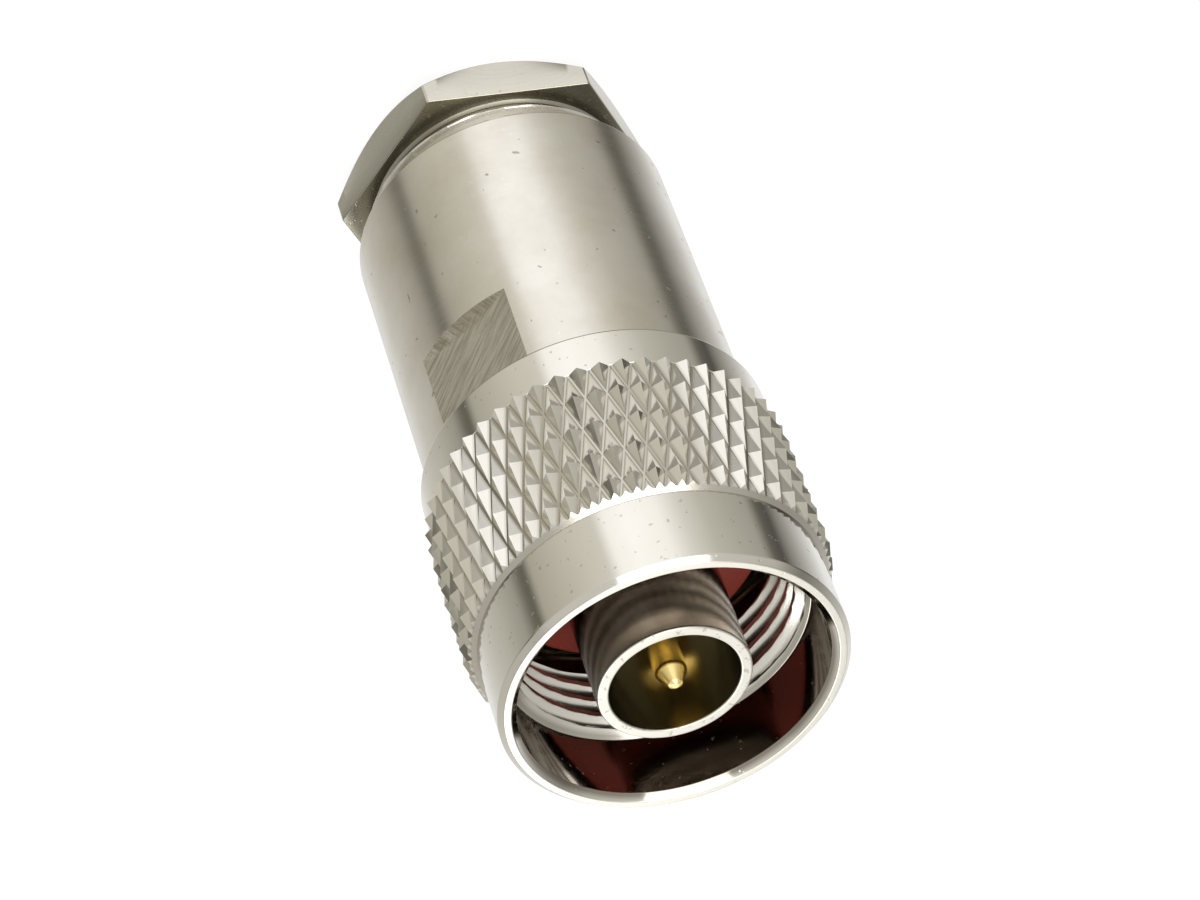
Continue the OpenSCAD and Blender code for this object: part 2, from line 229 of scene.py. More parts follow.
# %% Turn the nut's shell
KNURL_Z, KNURL_END = NUT_Z + 2.55, NUT_Z + 11.05
KNURL_FLOOR_R = KNURL_TIP - 0.45
nut_shell = turned("nut_shell", [
    (NUT_BORE_R, NUT_Z, 0.04), (BAND_R, NUT_Z, 0.16), (BAND_R, KNURL_Z - 0.02, 0.03),
    (KNURL_FLOOR_R - 0.15, KNURL_Z),
    (KNURL_FLOOR_R - 0.15, KNURL_END), (COLLAR_R, KNURL_END + 0.1),
    (COLLAR_R, NUT_END - 0.3, 0.10), (COLLAR_R - 0.3, NUT_END, 0.07),
    (LEAD_IN_R + 0.35, NUT_END, 0.06), (LEAD_IN_R, NUT_END - 0.35, 0.06),
    (LEAD_IN_R, THREAD_END, 0.0), (LEAD_IN_R + 0.12, THREAD_END), (LEAD_IN_R + 0.12, THREAD_Z),
    (RELIEF_R, THREAD_Z, 0.0), (RELIEF_R, NUT_Z + 4.7, 0.2), (NUT_BORE_R, NUT_Z + 4.7, 0.04),
    (NUT_BORE_R, GROOVE_TOP, 0.02), (NUT_GROOVE_R, GROOVE_TOP), (NUT_GROOVE_R, GROOVE_Z),
    (NUT_BORE_R, GROOVE_Z, 0.02)],
    "nut", ["coupling_nut"], columns=224, steps=5)

# %% [markdown]
# ## Coupling nut: the diamond knurl
# A knurling wheel presses two sets of grooves that cross. What stands between them is
# a field of four-sided points. In coordinates A and B that count the grooves of each
# set, the height is simply the lower of two ramps: up from a groove's floor to halfway,
# and down again. A grid laid along A and B puts mesh edges on every groove and, with
# the right diagonal in each cell, on every ridge. The band is made flat, cut square at
# the rear and bevelled at the front, and only then rolled round the nut.

# %% Lay the knurl out flat
KNURL_COUNT, KNURL_ROW, KNURL_SHIFT = 52, 2.01, 0.57
KNURL_STEP = 2 * math.pi / KNURL_COUNT
KNURL_TURN = math.radians(1.1) - KNURL_SHIFT * KNURL_STEP
KNURL_ROW_Z = KNURL_Z + 1.82 - KNURL_ROW
UNROLL_R = 9.5
CUTS = np.array([0, 0.045, 0.16, 0.32, 0.5, 0.68, 0.84, 0.955])


def groove_count(index):
    """Position counted in grooves: whole cells, and uneven cuts within each cell."""
    return index // len(CUTS) + CUTS[index % len(CUTS)]


def flank(count, floor=0.09):
    """0 on a groove's flat floor, rising evenly to 1 halfway to the next groove."""
    ramp = 1 - np.abs(2 * (count % 1) - 1)
    return np.clip((ramp - floor) / (1 - floor), 0, 1)


def flat_knurl():
    """Height above the axis = floor + depth x min(flank(A), flank(B)); along the nut = row x (B -
    A); round it = step x (A + shift x (B - A))."""
    cells = len(CUTS)
    p = np.arange(KNURL_COUNT * cells + 1)[None, :]
    t = np.arange(-4, 5 * cells + 1)[:, None]
    a, b = groove_count(p) + 0 * t, groove_count(p + t)
    round_it = (KNURL_TURN + KNURL_STEP * (a + KNURL_SHIFT * (b - a))) * UNROLL_R
    along = KNURL_ROW_Z + KNURL_ROW * (b - a)
    out = KNURL_FLOOR_R + 0.45 * np.minimum(flank(a), flank(b))
    rows, columns = out.shape
    r, c = np.meshgrid(np.arange(1, rows - 1), np.arange(columns - 1), indexing="ij")
    corner = [r * columns + c, (r - 1) * columns + c + 1, r * columns + c + 1, (r + 1) * columns + c]
    corner = np.stack(corner, -1).reshape(-1, 4)
    i, j = (c % cells).ravel(), ((c + r - 4) % cells).ravel()
    ridge_other_way = (i + j) % cells == cells - 1
    first = np.where(ridge_other_way[:, None], corner[:, [0, 1, 3]], corner[:, [0, 1, 2]])
    second = np.where(ridge_other_way[:, None], corner[:, [1, 2, 3]], corner[:, [0, 2, 3]])
    points = np.stack([round_it, along, out], -1).reshape(-1, 3)
    return points, np.concatenate([first, second])


knurl_points, knurl_faces = flat_knurl()
print("flat knurl:", len(knurl_points), "points,", len(knurl_faces), "triangles")

# %% [markdown]
# Each end is a plane in the flat layout. Cutting the mesh along the plane first gives an
# exact edge, and then everything that stands above the plane is lowered onto it. The
# same step makes the square rear end, which is just a very steep plane.

# %% Cut both ends and roll the band up
def read_points(bm):
    """All vertex positions of a bmesh as one array, by way of a mesh."""
    mesh = bpy.data.meshes.new("scratch")
    bm.to_mesh(mesh)
    flat = np.zeros(len(mesh.vertices) * 3)
    mesh.vertices.foreach_get("co", flat)
    return mesh, flat.reshape(-1, 3)


def write_points(bm, mesh, points):
    """Puts changed positions back into the bmesh."""
    mesh.vertices.foreach_set("co", points.ravel())
    bm.clear()
    bm.from_mesh(mesh)
    bpy.data.meshes.remove(mesh)


def lower_onto(bm, slope, at_along, at_out):
    """Cuts along the plane out = at_out + slope x (along - at_along), and lowers what is above it
    onto it."""
    geometry = bm.verts[:] + bm.edges[:] + bm.faces[:]
    bmesh.ops.bisect_plane(bm, geom=geometry, plane_co=(0, at_along, at_out), plane_no=(0, -slope, 1),
        dist=1e-6)
    mesh, points = read_points(bm)
    points[:, 2] = np.minimum(points[:, 2], at_out + slope * (points[:, 1] - at_along))
    write_points(bm, mesh, points)


band = bmesh.new()
scratch = bpy.data.meshes.new("scratch")
scratch.from_pydata(knurl_points, [], knurl_faces)
band.from_mesh(scratch)
bpy.data.meshes.remove(scratch)
lower_onto(band, 18.0, KNURL_Z, KNURL_TIP + 0.05)
lower_onto(band, -1 / 0.72, KNURL_END, KNURL_TIP + 0.1)
REAR_CUT, FRONT_CUT = KNURL_Z - 0.032, KNURL_END + 0.72 * (KNURL_TIP + 0.1 - 9.0)
for height, side in ((REAR_CUT, -1), (FRONT_CUT, 1)):
    bmesh.ops.bisect_plane(band, geom=band.verts[:] + band.edges[:] + band.faces[:],
        plane_co=(0, height, 0),
                           plane_no=(0, side, 0), dist=1e-6, clear_outer=True)
scratch, flat_band = read_points(band)
write_points(band, scratch, ring_points(flat_band[:, 2], flat_band[:, 1], flat_band[:, 0] / UNROLL_R))
bmesh.ops.remove_doubles(band, verts=band.verts[:], dist=0.0015)
open_edges = [edge for edge in band.edges if edge.is_boundary]
bmesh.ops.bridge_loops(band, edges=open_edges)
bmesh.ops.triangulate(band, faces=[face for face in band.faces if len(face.verts) > 4])
bmesh.ops.recalc_face_normals(band, faces=band.faces[:])
knurl_mesh = bpy.data.meshes.new("scratch")
band.to_mesh(knurl_mesh)
still_open = sum(edge.is_boundary for edge in band.edges)
band.free()
knurl_xyz = np.zeros(len(knurl_mesh.vertices) * 3)
knurl_mesh.vertices.foreach_get("co", knurl_xyz)
nut_knurl = put_in_scene("nut_knurl", knurl_xyz, [tuple(f.vertices) for f in knurl_mesh.polygons],
                         "nut", ["coupling_nut"], crisp=14)
bpy.data.meshes.remove(knurl_mesh)
print("open edges left on the knurl:", still_open)

# %% [markdown]
# ## Threads
# A thread is a profile that climbs one pitch a turn, so its phase at a point is
# height / pitch - angle / full turn. The depth is a trapezoid of that phase: a flat
# crest, two flanks at 30 degrees, a flat root. The same function serves the inside
# thread of the nut and the outside thread of the clamp nut, and each run-out is made
# by never letting the crest pass a 45 degree chamfer.

# %% Cut the two threads
THREAD_COLUMNS = 224


def thread_depth(height, angle, crest=0.27, root=0.14, depth=0.52):
    """Height of the thread above its root: full over the crest, falling at 30 degree flanks, none
    over the root."""
    phase = (height / PITCH - angle / (2 * np.pi)) % 1
    from_crest = np.abs(phase - 0.5) * PITCH
    slope_length = (PITCH - crest - root) / 2
    return depth * np.clip((PITCH / 2 - root / 2 - from_crest) / slope_length, 0, 1)


def threaded_ring(name, heights, radii, other_r, body, inside, columns=THREAD_COLUMNS):
    """A closed ring: one wall carries the thread given as radii over (height, angle), the other is
    plain and out of sight in the metal."""
    angle = np.linspace(0, 2 * np.pi, columns, endpoint=False)[None, :]
    plain = np.full((2, columns), other_r)
    ends = np.array([heights.min(), heights.max()])[:, None] + 0 * angle
    order = slice(None, None, -1) if inside else slice(None)
    h = (heights[:, None] + 0 * angle)[order]
    r = radii[order]
    plain_h = ends if inside else ends[::-1]
    points = ring_points(np.vstack([plain, r]), np.vstack([plain_h, h]), angle)
    return put_in_scene(name, points, grid_faces(len(points), columns, True), body, crisp=40)


columns_angle = np.linspace(0, 2 * np.pi, THREAD_COLUMNS, endpoint=False)[None, :]
inside_h = np.linspace(THREAD_Z, THREAD_END, 150)[:, None]
crest_side = NUT_THREAD_CREST_R + 0.52 - thread_depth(inside_h, columns_angle)
chamfered = np.maximum(crest_side, LEAD_IN_R - 1.3 * (THREAD_END - inside_h))
chamfered = np.maximum(chamfered, RELIEF_R - 1.3 * (inside_h - THREAD_Z))
nut_thread = threaded_ring("nut_thread", inside_h[:, 0], chamfered, LEAD_IN_R + 0.25, "nut",
    True)
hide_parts("coupling_nut")

outside_h = np.linspace(CLAMP_Z + 3.2, CLAMP_END - 0.45, 200)[:, None]
outside_r = CLAMP_THREAD_R - 0.52 + thread_depth(outside_h, columns_angle)
outside_r = np.minimum(outside_r, CLAMP_THREAD_R - 0.75 + 1.3 * (outside_h - CLAMP_Z - 3.2))
outside_r = np.minimum(outside_r, CLAMP_THREAD_R - 0.5 + 1.3 * (CLAMP_END - 0.45 - outside_h))
clamp_thread = threaded_ring("clamp_thread", outside_h[:, 0], outside_r, 7.0, "clamp",
    False)
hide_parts("clamp_nut")

# %% [markdown]
# ## Body with two wrench flats
# The body is turned too, and then two flats are milled across its front end. On the grid
# that is one more rule: ahead of the flats' rear end, no point may stand further out along
# X than half the distance across the flats. Columns placed on the flats' edges keep those
# edges straight, and two rows at one height make the square step.

# %% Turn the body and mill its flats
HALF_FLATS = 8.15
FLATS_Z = SHOULDER_Z - 5.5
flat_edge = math.acos(HALF_FLATS / BODY_R)


def columns_with(edges, total):
    """Angles all round, with exact columns on the given edges and a close pair beside each."""
    marks = np.sort(np.concatenate([[e - 0.002, e, e + 0.002] for e in edges]) % (2 * np.pi))
    gaps = np.diff(np.append(marks, marks[0] + 2 * np.pi))
    counts = np.maximum(1, np.round(gaps / (2 * np.pi) * total)).astype(int)
    return np.concatenate([start + gap * np.arange(n) / n for start, gap, n in zip(marks, gaps, counts)])


body_outline = rounded([
    (CLAMP_THREAD_R + 0.37, BODY_Z, 0.03), (BODY_R, BODY_Z, 0.13), (BODY_R, FLATS_Z),
    (BODY_R, FLATS_Z + 0.0004),
    (BODY_R, SHOULDER_Z, 0.13), (NECK_R, SHOULDER_Z, 0.03), (NECK_R, GROOVE_Z),
    (NECK_GROOVE_R, GROOVE_Z), (NECK_GROOVE_R, GROOVE_TOP),
    (NECK_R, GROOVE_TOP), (NECK_R, NECK_END, 0.25), (4.235, NECK_END, 0.08), (4.235, FLANGE_Z + 0.8),
    (BODY_BORE_R, FLANGE_Z + 0.8), (BODY_BORE_R, REAR_INS_Z, 0.03), (5.7, REAR_INS_Z, 0.03),
    (6.75, REAR_INS_Z - 1.4, 0.03),
    (CHAMBER_R, REAR_INS_Z - 1.4, 0.1), (CHAMBER_R, CABLE_SEAL_Z + 1.1),
    (CLAMP_THREAD_R + 0.07, CABLE_SEAL_Z + 0.8),
    (CLAMP_THREAD_R + 0.07, BODY_Z + 0.3)], steps=5)
body_angle = columns_with([flat_edge, -flat_edge, math.pi - flat_edge, math.pi + flat_edge], 216)[None, :]
body_r, body_h = body_outline[:, :1] + 0 * body_angle, body_outline[:, 1:] + 0 * body_angle
reach_x = HALF_FLATS / np.maximum(np.abs(np.cos(body_angle)), 1e-3)
milled = (body_h > FLATS_Z + 0.0002) & (body_r > HALF_FLATS - 0.01)
body_r = np.where(milled, np.minimum(body_r, reach_x), body_r)
body_shell = put_in_scene("body_shell", ring_points(body_r, body_h, body_angle),
                          grid_faces(len(body_outline), body_angle.shape[1], True), "plug",
                          ["plug_body"], crisp=17)

# %% [markdown]
# ## Clamp nut
# The hexagon's wall stands at (half its width) / cos(angle from the nearest flat's middle),
# and a 45 degree cone takes its rear corners off. The two surfaces meet at a height that
# depends on the angle alone, so rows are shared out below and above that height, and the
# curved edges of the chamfer come out exact.

# %% Shape the clamp nut
HEX_HALF, HEX_LENGTH, HEX_TURN = BODY_R - 0.85, 2.6, math.radians(12.6)
corner_angles = HEX_TURN + math.pi / 6 + np.arange(6) * math.pi / 3
hex_angle = columns_with(np.concatenate([corner_angles - 0.007, corner_angles + 0.007]), 288)[None, :]
from_flat = (hex_angle - HEX_TURN + math.pi / 6) % (math.pi / 3) - math.pi / 6
wall_r = np.minimum(HEX_HALF / np.cos(from_flat), HEX_HALF / math.cos(math.pi / 6 - 0.007))
meet_h = wall_r - HEX_HALF + 0.02


def flat_part(radius, height):
    """One ring of even radius and height."""
    return np.full_like(wall_r, radius), np.full_like(wall_r, height)


rings = [flat_part(CABLE_BORE_R, 0.4), flat_part(CABLE_BORE_R + 0.4, 0.0), flat_part(HEX_HALF - 0.4, 0.0),
         flat_part(HEX_HALF - 0.02, 0.0)]
rings += [(HEX_HALF - 0.02 + meet_h * part, meet_h * part) for part in (0.5, 0.97)]
rings += [(wall_r, meet_h + (HEX_LENGTH - 0.07 - meet_h) * part) for part in (0.02, 0.5, 0.99)]
rings += [(wall_r - 0.015, 0 * wall_r + HEX_LENGTH - 0.03), (wall_r - 0.06, 0 * wall_r + HEX_LENGTH)]
rings += [flat_part(7.3, HEX_LENGTH), flat_part(7.12, HEX_LENGTH + 0.12),
    flat_part(7.12, CLAMP_END - 0.3),
          flat_part(6.9, CLAMP_END), flat_part(CABLE_BORE_R + 0.1, CLAMP_END),
          flat_part(CABLE_BORE_R, CLAMP_END - 0.1)]
hex_r, hex_h = (np.concatenate(part) for part in zip(*rings))
clamp_shell = put_in_scene("clamp_shell", ring_points(hex_r, CLAMP_Z + hex_h, hex_angle),
                           grid_faces(len(rings), hex_angle.shape[1], True), "clamp",
                           ["clamp_nut"], crisp=24)

# %% [markdown]
# ## Contacts, insulators and seals
# These are plain turned or moulded parts, so the same outline helper makes them. The pin
# is the only one that reaches the axis: its outline starts and ends there, and a fan of
# triangles closes each pole.

# %% Turn the small parts
outer_contact = turned("contact_tube", [
    (CONTACT_BORE_R, FLANGE_Z, 0.03), (FLANGE_R, FLANGE_Z, 0.03), (FLANGE_R, FLANGE_Z + 0.8, 0.03),
    (CONTACT_R + 0.2, FLANGE_Z + 0.8),
    (CONTACT_R + 0.2, SEAL_END, 0.03), (CONTACT_R, SEAL_END + 0.2, 0.03),
    (CONTACT_R, CONTACT_END, 0.10), (CONTACT_BORE_R, CONTACT_END, 0.08)],
    "plug", ["outer_contact"], columns=144)
mating_seal = turned("seal_ring", [
    (CONTACT_R + 0.28, SEAL_Z, 0.1), (SEAL_R, SEAL_Z, 0.1), (SEAL_R, SEAL_END, 0.22),
    (CONTACT_R + 0.28, SEAL_END, 0.15)],
    "plug", ["mating_seal"], columns=128)
front_insulator = turned("insulator_front", [
    (PIN_SHANK_R + 0.02, FRONT_INS_Z, 0.02), (FRONT_INS_R, FRONT_INS_Z, 0.05),
    (FRONT_INS_R, FRONT_INS_END, 0.08), (PIN_SHANK_R + 0.02, FRONT_INS_END, 0.25)],
    "plug", ["front_insulator"], columns=96)
rear_insulator = turned("insulator_rear", [
    (PIN_SHANK_R + 0.02, REAR_INS_Z, 0.05), (REAR_INS_R, REAR_INS_Z, 0.08),
    (REAR_INS_R, REAR_INS_END, 0.05), (PIN_RECESS_R, REAR_INS_END), (PIN_RECESS_R, REAR_INS_END - 0.6),
    (PIN_SHANK_R + 0.02, REAR_INS_END - 0.6)],
    "plug", ["rear_insulator"], columns=128)
middle_r = (BRAID_R + CABLE_BORE_R) / 2
braid_clamp = turned("braid_ferrule", [
    (BRAID_BORE_R, BRAID_Z, 0.08), (middle_r - 1.0, BRAID_Z), (middle_r, BRAID_Z - 1.0, 0.05),
    (middle_r + 1.0, BRAID_Z),
    (BRAID_R, BRAID_Z, 0.04), (BRAID_R, BRAID_Z + 1.6, 0.06), (5.9, BRAID_Z + 1.6),
    (4.9, BRAID_END, 0.05), (BRAID_BORE_R, BRAID_END, 0.05)],
    "plug", ["braid_clamp"], columns=128)
cable_seal = turned("cable_gland", [
    (CABLE_BORE_R - 0.2, CABLE_SEAL_Z, 0.12), (CABLE_SEAL_R, CABLE_SEAL_Z, 0.1),
    (CABLE_SEAL_R, CABLE_SEAL_END, 0.05),
    (middle_r + 1.0, CABLE_SEAL_END), (middle_r, CABLE_SEAL_END - 1.0, 0.05),
    (middle_r - 1.0, CABLE_SEAL_END), (CABLE_BORE_R - 0.2, CABLE_SEAL_END, 0.04)],
    "plug", ["cable_seal"], columns=128)
clamp_washer = turned("gland_washer", [
    (CABLE_BORE_R + 0.2, WASHER_Z, 0.06), (WASHER_R, WASHER_Z, 0.1), (WASHER_R, WASHER_END, 0.1),
    (CABLE_BORE_R + 0.2, WASHER_END, 0.06)],
    "washer", ["clamp_washer"], columns=128)

pin_outline = rounded([
    (0, PIN_Z + 2.88), (PIN_CUP_R, PIN_Z + 2.88, 0.1), (PIN_CUP_R, PIN_Z, 0.04),
    (PIN_SHANK_R, PIN_Z, 0.05), (PIN_SHANK_R, REAR_INS_END - 0.6),
    (PIN_COLLAR_R, REAR_INS_END - 0.6), (PIN_COLLAR_R, REAR_INS_END), (PIN_SHANK_R, REAR_INS_END),
    (PIN_SHANK_R, PIN_END - 6.0, 0.1),
    (PIN_R, PIN_END - 5.6, 0.1), (PIN_R, PIN_END - 0.9, 0.5), (PIN_R * 0.45, PIN_END - 0.12, 0.15),
    (PIN_R * 0.2, PIN_END, 0.06), (0, PIN_END)], closed=False)
PIN_COLUMNS = 72
pin_angle = np.linspace(0, 2 * np.pi, PIN_COLUMNS, endpoint=False)[None, :]
pin_rows = ring_points(pin_outline[1:-1, :1], pin_outline[1:-1, 1:], pin_angle)
poles = ring_points(np.zeros(2), pin_outline[[0, -1], 1], 0.0)
last = len(pin_rows) * PIN_COLUMNS
around = np.arange(PIN_COLUMNS)
beyond = (around + 1) % PIN_COLUMNS
fans = [np.stack([beyond, around, 0 * around + last], -1),
    np.stack([last - PIN_COLUMNS + around, last - PIN_COLUMNS + beyond, 0 * around + last + 1], -1)]
pin_faces = grid_faces(len(pin_rows), PIN_COLUMNS, False).tolist() + np.concatenate(fans).tolist()
centre_pin = put_in_scene("pin_turned", np.concatenate([pin_rows.reshape(-1, 3), poles]), pin_faces,
    "plug", ["centre_pin"])

# %% [markdown]
# ## Shader arithmetic
# A finish is a formula of where a point is: turning marks follow height and radius, dirt
# sits low in the knurl, nicks come from noise. Written as node links such a formula is
# hard to read. This small class wraps a socket so that ordinary Python expressions add
# the Math nodes, and one method makes any other node.

# %% Wrap sockets so that they can be calculated with
class Signal:
    """A socket in a node tree that takes part in arithmetic."""

    def __init__(self, tree, socket):
        self.tree, self.socket = tree, socket

    def math(self, operation, *values, clamp=False):
        node = self.tree.nodes.new("ShaderNodeMath")
        node.operation, node.use_clamp = operation, clamp
        for slot, value in zip(node.inputs, values):
            connect(self.tree, slot, value)
        return Signal(self.tree, node.outputs[0])

    def __add__(self, other):
        return self.math("ADD", self, other)

    def __radd__(self, other):
        return self.math("ADD", other, self)

    def __sub__(self, other):
        return self.math("SUBTRACT", self, other)

    def __rsub__(self, other):
        return self.math("SUBTRACT", other, self)

    def __mul__(self, other):
        return self.math("MULTIPLY", self, other)

    def __rmul__(self, other):
        return self.math("MULTIPLY", other, self)

    def __truediv__(self, other):
        return self.math("DIVIDE", self, other)

    def __gt__(self, other):
        return self.math("GREATER_THAN", self, other)

    def __lt__(self, other):
        return self.math("LESS_THAN", self, other)

    def __pow__(self, other):
        return self.math("POWER", self, other)


    def ramp(self, low, high):
        """0 at low, 1 at high, a straight slope between, and no further."""
        return self.math("MULTIPLY_ADD", self, 1 / (high - low), -low / (high - low), clamp=True)


def connect(tree, slot, value):
    """Links a Signal into a socket, or sets the socket's own value."""
    if isinstance(value, Signal):
        tree.links.new(value.socket, slot)
    elif hasattr(slot.default_value, "__len__") and not hasattr(value, "__len__"):
        slot.default_value = [value] * len(slot.default_value)
    elif hasattr(slot.default_value, "__len__") and len(slot.default_value) == 4 and len(value) == 3:
        slot.default_value = (*value, 1.0)
    else:
        slot.default_value = value


class Finish:
    """A node tree with places on the part ready to use: x, y, height and radius, in mm."""

    def __init__(self, owner):
        owner.use_nodes = True
        self.tree = owner.node_tree
        self.tree.nodes.clear()

    def node(self, kind, settings=None, sockets=None, output=0):
        """Makes a node, sets its settings, fills its sockets, and returns one output."""
        node = self.tree.nodes.new("ShaderNode" + kind)
        for key, value in (settings or {}).items():
            if key == "stops":
                for _ in range(len(value) - 2):
                    node.color_ramp.elements.new(0.5)
                for element, (position, colour) in zip(node.color_ramp.elements, value):
                    element.position, element.color = position, (*colour, 1.0)
            else:
                setattr(node, key, value)
        for key, value in (sockets or {}).items():
            connect(self.tree, node.inputs[key], value)
        return Signal(self.tree, node.outputs[output]) if len(node.outputs) else None

    def noise(self, vector, scale, detail=3.0, roughness=0.5):
        return self.node("TexNoise", None, {"Vector": vector, "Scale": scale, "Detail": detail,
            "Roughness": roughness})

    def blend(self, factor, first, second):
        """Colour mix: first where factor is 0, second where it is 1."""
        return self.node("Mix", {"data_type": "RGBA"}, {0: factor, 6: first, 7: second}, 2)

    def vector(self, x, y, z):
        return self.node("CombineXYZ", None, {0: x, 1: y, 2: z})

    def place_on_part(self):
        """Reads the place in mm: sets x, y, height, radius and the point itself."""
        where = self.node("TexCoord", None, None, 3)
        self.point = self.node("VectorMath", {"operation": "SCALE"}, {0: where, 3: 1000.0})
        parts = self.tree.nodes.new("ShaderNodeSeparateXYZ")
        connect(self.tree, parts.inputs[0], self.point)
        self.x, self.y, self.height = (Signal(self.tree, out) for out in parts.outputs)
        self.radius = (self.x * self.x + self.y * self.y) ** 0.5

    def turning(self, fineness, along=1.0):
        """Noise drawn out round the axis: quick across the cut (height + radius), slow round it."""
        across = (self.height + self.radius * 1.37) * fineness
        return self.noise(self.vector(self.x * along, self.y * along, across), 1.0, 4.0, 0.62)

    def surface(self, base, roughness, metallic=1.0, bump=None, bump_distance=0.004, bump_strength=0.5,
        **constant):
        """A Principled surface; bump is a height signal with its distance in mm, and the rest are
        plain numbers."""
        sockets = {"Base Color": base, "Roughness": roughness, "Metallic": metallic}
        if bump is not None:
            sockets["Normal"] = self.node("Bump", None,
                {"Height": bump, "Distance": bump_distance * 0.001, "Strength": bump_strength})
        sockets.update({key.replace("_", " "): value for key, value in constant.items()})
        shader = self.node("BsdfPrincipled", None, sockets)
        self.node("OutputMaterial", None, {"Surface": shader})


def material(name):
    """A new material with its tree ready and the place on the part read."""
    made = bpy.data.materials.new(name)
    finish = Finish(made)
    finish.place_on_part()
    return made, finish


print("shader helpers ready")

# %% [markdown]
# ## Nickel on the nut's shell
# The collar was turned with a fine feed and plated bright, so it shows clear streaks of
# the room, softened by faint marks that run round it. The rim's face is duller and creamier
# and carries rings from facing plus small knocks. Height picks the rim out of the same mesh.
# The wall of the mouth gets painted shade, a dark colour, because so deep a mouth mirrors mostly its own
# dark.

# %% Mix the nickel for the shell
NICKEL = (0.735, 0.712, 0.660)


def knocks(f, scale, threshold, soft=0.03):
    """Small spots where a fine noise passes a threshold."""
    return f.noise(f.point, scale, 2.0, 0.5).ramp(threshold, threshold + soft)


nickel_shell, f = material("nickel_shell")
lines = f.turning(9.0, 0.25)
cloud = f.noise(f.point, 0.35, 3.0)
rim = f.height.ramp(NUT_END - 0.05, NUT_END - 0.03)
nicks = knocks(f, 2.6, 0.69)
# Painted shade: inside the lead-in the wall's colour is blended to a dark brown.
inside = f.radius.ramp(LEAD_IN_R + 0.3, LEAD_IN_R + 0.1)
colour = f.blend(cloud.ramp(0.35, 0.75) * 0.35, NICKEL, (0.690, 0.660, 0.590))
colour = f.blend(rim * 0.85, colour, (0.610, 0.590, 0.525))
colour = f.blend(inside * 0.85, colour, (0.27, 0.235, 0.20))
colour = f.blend(nicks * 0.5, colour, (0.42, 0.39, 0.33))
rough = 0.05 + lines * 0.08 + rim * 0.22 + nicks * 0.2
f.surface(colour, rough, bump=lines * (0.35 + rim * 1.6) - nicks * 2.0, bump_distance=0.003,
    bump_strength=0.5)
nut_shell.data.materials.append(nickel_shell)
print("nickel_shell on", nut_shell.name)

# %% [markdown]
# ## Nickel on the knurl and the threads
# Plating is thin, so the knurl keeps crisp points, painted a little brighter as a painted highlight.
# A faint dark film lies in random patches, and the groove floors get painted shade, which the radius picks
# out.

# %% Mix the nickel for knurl and threads
nickel_knurl, f = material("nickel_knurl")
tip_highlight = f.radius.ramp(KNURL_TIP - 0.13, KNURL_TIP - 0.02)
floor_mask = f.radius.ramp(KNURL_FLOOR_R + 0.10, KNURL_FLOOR_R + 0.0)
grain = f.noise(f.point, 7.0, 4.0, 0.6)
film = f.noise(f.point, 0.8, 3.0).ramp(0.45, 0.7)
colour = f.blend(film * 0.3, NICKEL, (0.66, 0.63, 0.56))
# Painted shade on the groove floors and a painted highlight on the knurl's points.
colour = f.blend(floor_mask * 0.55, colour, (0.34, 0.31, 0.25))
colour = f.blend(tip_highlight * 0.6, colour, (0.82, 0.80, 0.75))
f.surface(colour, 0.09 + grain * 0.08 + floor_mask * 0.08, bump=grain, bump_distance=0.004,
    bump_strength=0.35)
nut_knurl.data.materials.append(nickel_knurl)

nickel_thread, f = material("nickel_thread")
lines = f.turning(14.0, 0.3)
# Painted shade: the thread's roots, deep between the crests, are painted dark.
root = f.radius.ramp(NUT_THREAD_CREST_R + 0.3, NUT_THREAD_CREST_R + 0.5)
colour = f.blend(root * 0.7, NICKEL, (0.36, 0.33, 0.28))
f.surface(colour, 0.13 + lines * 0.12, bump=lines, bump_distance=0.004, bump_strength=0.4)
nut_thread.data.materials.append(nickel_thread)
print("nickel_knurl and nickel_thread ready")

# %% [markdown]
# ## Satin nickel on the body
# The body came off the lathe with a coarser feed, so its streaks are softer. It carries a few
# pits and specks, and the milled flats show slanting cutter marks. The flats are picked out
# by how far they stand along X, and their marks are noise stretched along a slanting line.

# %% Mix the satin nickel
nickel_body, f = material("nickel_body")
lines = f.turning(6.0, 0.22)
haze = f.noise(f.point, 0.22, 4.0, 0.6)
pits = knocks(f, 1.5, 0.71, 0.02)
specks = knocks(f, 5.0, 0.70, 0.02)
across_x = f.x.math("ABSOLUTE", f.x)
flats = (f.radius < BODY_R - 0.004) * (across_x > HALF_FLATS - 0.02) * (f.height > FLATS_Z)
slant = f.noise(f.vector(f.x * 0.2, (f.y * 0.80 + f.height * 0.60) * 0.5,
    (f.y * 0.60 - f.height * 0.80) * 9.0), 1.0, 4.0, 0.65)
colour = f.blend(haze.ramp(0.35, 0.65) * 0.7, (0.725, 0.700, 0.645), (0.635, 0.585, 0.510))
colour = f.blend(flats * slant.ramp(0.40, 0.62) * 0.75, colour, (0.40, 0.37, 0.29))
colour = f.blend(pits * 0.6, colour, (0.33, 0.30, 0.25))
colour = f.blend(specks * 0.35, colour, (0.86, 0.85, 0.82))
rough = 0.12 + lines * 0.10 + haze * 0.05 + pits * 0.2 + flats * 0.05
f.surface(colour, rough, bump=lines * (1 - flats) * 0.8 + flats * slant * 2.2 - pits * 2.5,
    bump_distance=0.004, bump_strength=0.55)
body_shell.data.materials.append(nickel_body)

